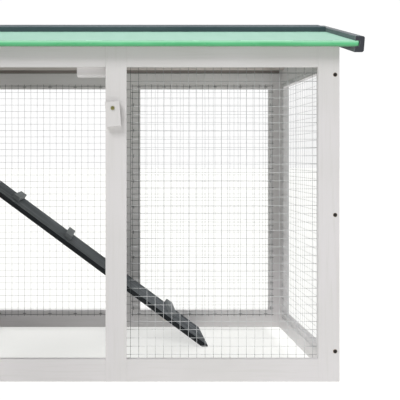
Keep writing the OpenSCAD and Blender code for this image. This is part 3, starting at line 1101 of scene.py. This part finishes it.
@dataclass
class Roof:
    """Green hollow-core sheets: two skins joined by ribs, with a closed front edge."""

    shop: Workshop
    pitch: float = math.radians(14.04)
    skin: float = 1.0 * MM
    rib: float = 0.9 * MM
    rib_pitch: float = 16.0 * MM
    edge: float = 9.0 * MM
    corner: float = 7.0 * MM
    lip: float = 1.2 * MM

    def slope(self, back: bool) -> Matrix:
        """Transform from a slope's own axes, along, up the slope and square to it.

        Args:
            back: Whether it is the back slope.

        Returns:
            The transform.
        """
        low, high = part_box("roof_sheet_back" if back else "lid_sheet")
        turn = Matrix.Rotation(math.pi if back else 0.0, 4, "Z") @ Matrix.Rotation(self.pitch, 4, "X")
        eave = Vector((0.0, high[1] if back else low[1], low[2]))
        return Matrix.Translation(eave) @ turn

    def local_boxes(self, node: str, to_world: Matrix) -> list[Box]:
        """Boxes of a node's solids in a slope's own axes.

        Args:
            node: The frame node.
            to_world: The slope's transform.

        Returns:
            One box for each solid.
        """
        twin = merged_copy(node)
        twin.data.transform(to_world.inverted())
        edit(twin, "VERT")
        bpy.ops.mesh.separate(type="LOOSE")
        done()
        parts = list(bpy.context.selected_objects)
        boxes = [limits(part) for part in parts]
        for part in parts:
            bpy.data.objects.remove(part)
        return boxes

    def panel(self, box: Box) -> tuple[bpy.types.Object, bpy.types.Object, bpy.types.Object]:
        """Models one hollow sheet and the strip that closes its eave edge.

        Args:
            box: Its box in the slope's own axes.

        Returns:
            The upper skin with the ribs, the lower skin and the strip.
        """
        low, high = box
        inner = low[1] + self.edge
        under = cube((low[0], inner, low[2]), (high[0], high[1], low[2] + self.skin))
        ease(under, 0.2 * MM, segments=1)
        upper = cube((low[0], inner, high[2] - self.skin), high)
        count = int((high[0] - low[0] - self.rib) / self.rib_pitch) + 1
        rib = cube(
            (low[0], inner, low[2] + self.skin), (low[0] + self.rib, high[1], high[2] - self.skin)
        )
        use_modifier(
            rib, "ARRAY", count=count, use_relative_offset=False, use_constant_offset=True,
            constant_offset_displace=(self.rib_pitch, 0.0, 0.0),
        )
        strip = cube((low[0], low[1], low[2] - self.lip), (high[0], inner, high[2]))
        edit(strip, "EDGE")
        bpy.ops.mesh.select_all(action="DESELECT")
        done()
        for side in strip.data.edges:
            a, b = (strip.data.vertices[i].co for i in side.vertices)
            side.select = max(a.y, b.y) < low[1] + 0.1 * MM and abs(a.z - b.z) > MM
        bpy.ops.object.mode_set(mode="EDIT")
        bpy.ops.mesh.bevel(offset=self.corner, segments=5, affect="EDGES")
        done()
        ease(strip, 1.5 * MM, segments=3, angle=60)
        return join([upper, rib]), under, strip

    def build(self) -> None:
        """Makes the sheets of both slopes and of the lid."""
        for node, back in (("roof_sheet_back", True), ("roof_sheet_front", False), ("lid_sheet", False)):
            to_world = self.slope(back)
            layers = ([], [], [])
            for box in self.local_boxes(node, to_world):
                for layer, part in zip(layers, self.panel(box)):
                    part.data.transform(to_world)
                    layer.append(part)
            for layer, label, finish in zip(layers, ("skin", "underside", "edge"), (SHEET, SHADED_UNDERSIDE, EDGE)):
                self.shop.book(join(layer), f"{node}_{label}", self.shop.metal(finish), node, label == "skin")


# ---- metalwork -----------------------------------------------------------------------------


@dataclass
class Metalwork:
    """Screws, hinges and the tray pan."""

    shop: Workshop
    head_r: float = 4.2 * MM
    button_r: float = 4.5 * MM
    ring_w: float = 0.7 * MM
    rim_r: float = 2.0 * MM

    def screw(self, radius: float) -> bpy.types.Object:
        """Models a low screw head at the origin, facing -Y, with a cross recess.

        Args:
            radius: Radius of the head.

        Returns:
            The head.
        """
        head = rod((0, 1.2 * MM, 0), (0, -1.1 * MM, 0), radius, 24)
        ease(head, radius * 0.12, segments=2)
        long, short = 0.62 * radius, 0.14 * radius
        for wide, tall in ((long, short), (short, long)):
            arm = cube((-wide, -2 * MM, -tall), (wide, -0.4 * MM, tall))
            use_modifier(head, "BOOLEAN", operation="DIFFERENCE", object=arm, solver="EXACT")
            bpy.data.objects.remove(arm)
        return head

    def frame_screws(self) -> None:
        """Sets the heads of the screws in the corner posts."""
        places = []
        for low, high in solids_of("frame_screws"):
            middle = (low + high) / 2
            front = middle[1] < cad_high[1] / 2
            turn = Matrix.Rotation(0.0 if front else math.pi, 4, "Z")
            spot = Vector((middle[0], low[1] + 0.4 * MM if front else high[1] - 0.4 * MM, middle[2]))
            places.append(Matrix.Translation(spot) @ turn)
        heads = copies(self.screw(self.head_r), places)
        self.shop.book(heads, "frame_screw_heads", self.shop.metal(DARK_SCREW), "frame_screws")
        ring = ease(rod((0, 0.9 * MM, 0), (0, -0.2 * MM, 0), self.head_r + self.ring_w, 24), 0.1 * MM)
        rings = copies(ring, places)
        bare_pine_or_painted_shade = self.shop.paint(RAW_PINE, Grain.Y)
        self.shop.book(rings, "frame_screw_rings", bare_pine_or_painted_shade, "front_right_post", stands_for=False)

    def button_screws(self) -> None:
        """Sets the round screws that the turn buttons turn on."""
        places = []
        for low, high in solids_of("button_screws"):
            middle = (low + high) / 2
            places.append(Matrix.Translation((middle[0], low[1] + 1.6 * MM, middle[2])))
        heads = copies(self.screw(self.button_r), places)
        self.shop.book(heads, "button_screw_heads", self.shop.metal(YELLOW_ZINC), "button_screws")

    def hinges(self) -> None:
        """Eases the hinge leaves and pins of every hinge."""
        for node in ("fixed_hinge_leaves", "hinge_pins", "run_door_hinges", "house_door_hinges",
                     "lid_hinges", "ramp_hinges"):
            piece = ease(merged_copy(node), 0.25 * MM, segments=1)
            self.shop.book(piece, node + "_plate", self.shop.metal(PLATE), node)

    def pan(self) -> None:
        """Models the litter pan with a rolled rim."""
        pan = ease(merged_copy("tray_pan"), 0.4 * MM, segments=1)
        low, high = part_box("tray_pan")
        rim = self.rim_r
        corners = [(low[0], low[1] + rim), (high[0], low[1] + rim), (high[0], high[1]), (low[0], high[1])]
        tubes = []
        for i, corner in enumerate(corners):
            other = corners[(i + 1) % 4]
            tubes.append(rod((*corner, high[2] - rim), (*other, high[2] - rim), rim, 12))
        whole = join([pan, *tubes])
        select(whole)
        bpy.ops.object.shade_smooth_by_angle(angle=math.radians(40))
        self.shop.book(whole, "tray_pan_sheet", self.shop.metal(PAN), "tray_pan")

    def build(self) -> None:
        """Makes all the metalwork."""
        self.frame_screws()
        self.button_screws()
        self.hinges()
        self.pan()


# ---- studio --------------------------------------------------------------------------------


@dataclass
class Studio:
    """Pale floor, soft light from above and the camera."""

    eye: tuple[float, float, float] = (0.185, -1.7075, 0.514)
    lens: float = 67.3
    shift: tuple[float, float] = (0.2175, -0.111)
    floor_r: float = 30.0
    floor_gap: float = 0.4 * MM
    walls_seen: float = 1.02
    walls_lit: float = 0.2

    def camera(self) -> None:
        """Adds the camera, level and square to the front."""
        data = bpy.data.cameras.new("camera")
        data.lens = self.lens
        data.sensor_width = 36.0
        data.shift_x, data.shift_y = self.shift
        camera = bpy.data.objects.new("camera", data)
        camera.location = self.eye
        camera.rotation_euler = (math.pi / 2, 0.0, 0.0)
        bpy.context.scene.collection.objects.link(camera)
        bpy.context.scene.camera = camera

    def floor(self) -> None:
        """Lays the studio floor."""
        deselect()
        bpy.ops.mesh.primitive_circle_add(
            vertices=96, radius=self.floor_r, fill_type="NGON", location=(0, 0, -self.floor_gap)
        )
        ground = settle(bpy.context.active_object)
        ground.name = "studio_floor"
        ground.data.materials.append(StudioFloor().material())

    def bank(self, name: str, height: float, side: float, spread: float, power: float) -> None:
        """Hangs one wide bank of far lights, even over the whole stage.

        Args:
            name: Its name.
            height: How high it stands, in degrees above the floor.
            side: Where it stands, in degrees round from the front towards +X.
            spread: How wide it looks from the stage, in degrees.
            power: Light on a surface square to it, in watts for each square metre.
        """
        data = bpy.data.lights.new(name, "SUN")
        data.angle = math.radians(spread)
        data.energy = power
        lamp = bpy.data.objects.new(name, data)
        lift, turn = math.radians(height), math.radians(side)
        level = math.cos(lift)
        from_stage = Vector((math.sin(turn) * level, -math.cos(turn) * level, math.sin(lift)))
        lamp.location = from_stage * 4.0
        lamp.rotation_euler = (-from_stage).to_track_quat("-Z", "Y").to_euler()
        bpy.context.scene.collection.objects.link(lamp)

    def world(self) -> None:
        """Surrounds the stage with white walls that light it more dimly than they look."""
        world = bpy.data.worlds.new("studio")
        world.use_nodes = True
        tree = world.node_tree
        tree.nodes.clear()
        seen = add_node(tree, "Background", {"Color": (1, 1, 1, 1), "Strength": self.walls_seen})
        lit = add_node(tree, "Background", {"Color": (0.97, 0.98, 1.0, 1), "Strength": self.walls_lit})
        rays = add_node(tree, "LightPath")
        both = add_node(
            tree, "MixShader",
            links={0: rays.outputs["Is Camera Ray"], 1: lit.outputs[0], 2: seen.outputs[0]},
        )
        add_node(tree, "OutputWorld", links={"Surface": both.outputs[0]})
        bpy.context.scene.world = world

    def build(self) -> None:
        """Sets up the whole stage."""
        self.camera()
        self.floor()
        self.world()
        self.bank("front_bank", height=48.0, side=-36.0, spread=26.0, power=1.75)
        self.bank("rear_bank", height=58.0, side=170.0, spread=50.0, power=1.2)
        scene = bpy.context.scene
        scene.view_settings.view_transform = "Standard"
        scene.view_settings.look = "None"


def main() -> None:
    """Builds the stage and every part of the hutch in order."""
    logging.basicConfig(level=logging.INFO, format="%(name)s: %(message)s")
    Studio().build()
    shop = Workshop()
    for part in (Timber(shop), BoardedPanels(shop), WirePanels(shop), Roof(shop), Metalwork(shop)):
        part.build()
    LOG.info("%d pieces", shop.pieces)


if __name__ == "__main__":
    main()
